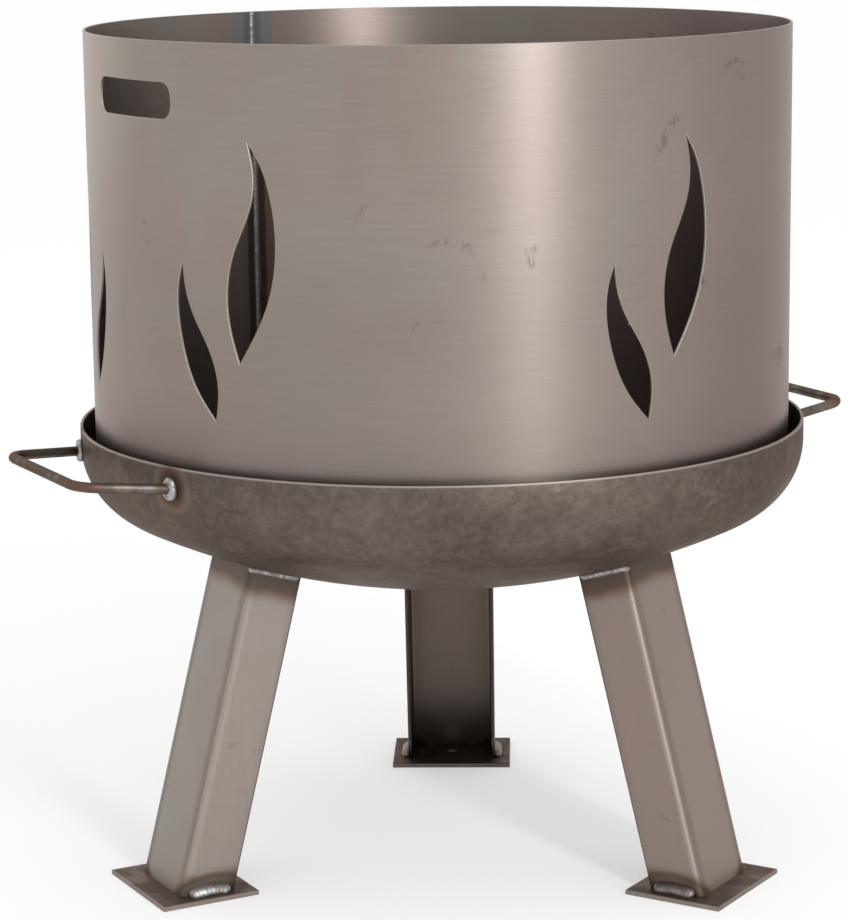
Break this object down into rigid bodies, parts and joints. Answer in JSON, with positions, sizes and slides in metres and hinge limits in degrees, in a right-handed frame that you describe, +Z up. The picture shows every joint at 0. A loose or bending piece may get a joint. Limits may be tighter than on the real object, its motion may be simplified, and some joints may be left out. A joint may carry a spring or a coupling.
{
  "type": "coal forge",
  "caption": "Dished steel fire bowl on splayed channel legs with a lift-off rolled-sheet surround that has hand slots and flame-shaped cut-outs.",
  "frame": {"origin": "on the floor, under the axis of the bowl", "axes": "+Z up along the bowl's axis, -Y towards the front between two legs, +Y over the rear leg"},
  "size_m": [0.6882, 0.6, 0.6924],
  "materials": {
    "bowl_plate": "bare mill-scale plate, mottled",
    "surround_sheet": "bare cold-rolled sheet, satin",
    "leg_channel": "bare press-folded sheet, satin",
    "foot_steel": "bare cut plate, dark scale",
    "handle_bar": "bare round bar, light rust bloom at the bends",
    "weld_metal": "bare weld bead with heat tint"
  },
  "bodies": {
    "stand": {"bowl": "bowl_plate", "leg_front_left": "leg_channel", "leg_front_right": "leg_channel", "leg_rear": "leg_channel", "foot_plate_front_left": "foot_steel", "foot_plate_front_right": "foot_steel", "foot_plate_rear": "foot_steel", "handle_left": "handle_bar", "handle_right": "handle_bar", "weld_foot_front_left_a": "weld_metal", "weld_foot_front_left_b": "weld_metal", "weld_foot_front_right_a": "weld_metal", "weld_foot_front_right_b": "weld_metal", "weld_foot_rear_a": "weld_metal", "weld_foot_rear_b": "weld_metal", "weld_leg_front_left_a": "weld_metal", "weld_leg_front_left_b": "weld_metal", "weld_leg_front_right_a": "weld_metal", "weld_leg_front_right_b": "weld_metal", "weld_leg_rear_a": "weld_metal", "weld_leg_rear_b": "weld_metal", "weld_handle_left_a": "weld_metal", "weld_handle_left_b": "weld_metal", "weld_handle_right_a": "weld_metal", "weld_handle_right_b": "weld_metal"},
    "surround": {"surround_shell": "surround_sheet", "surround_seam_weld": "weld_metal"}
  },
  "joints": [
    {"name": "surround_lift", "type": "slide", "parent": "stand", "child": "surround", "axis": [0, 0, 1], "range_m": [0, 0.1]}
  ]
}
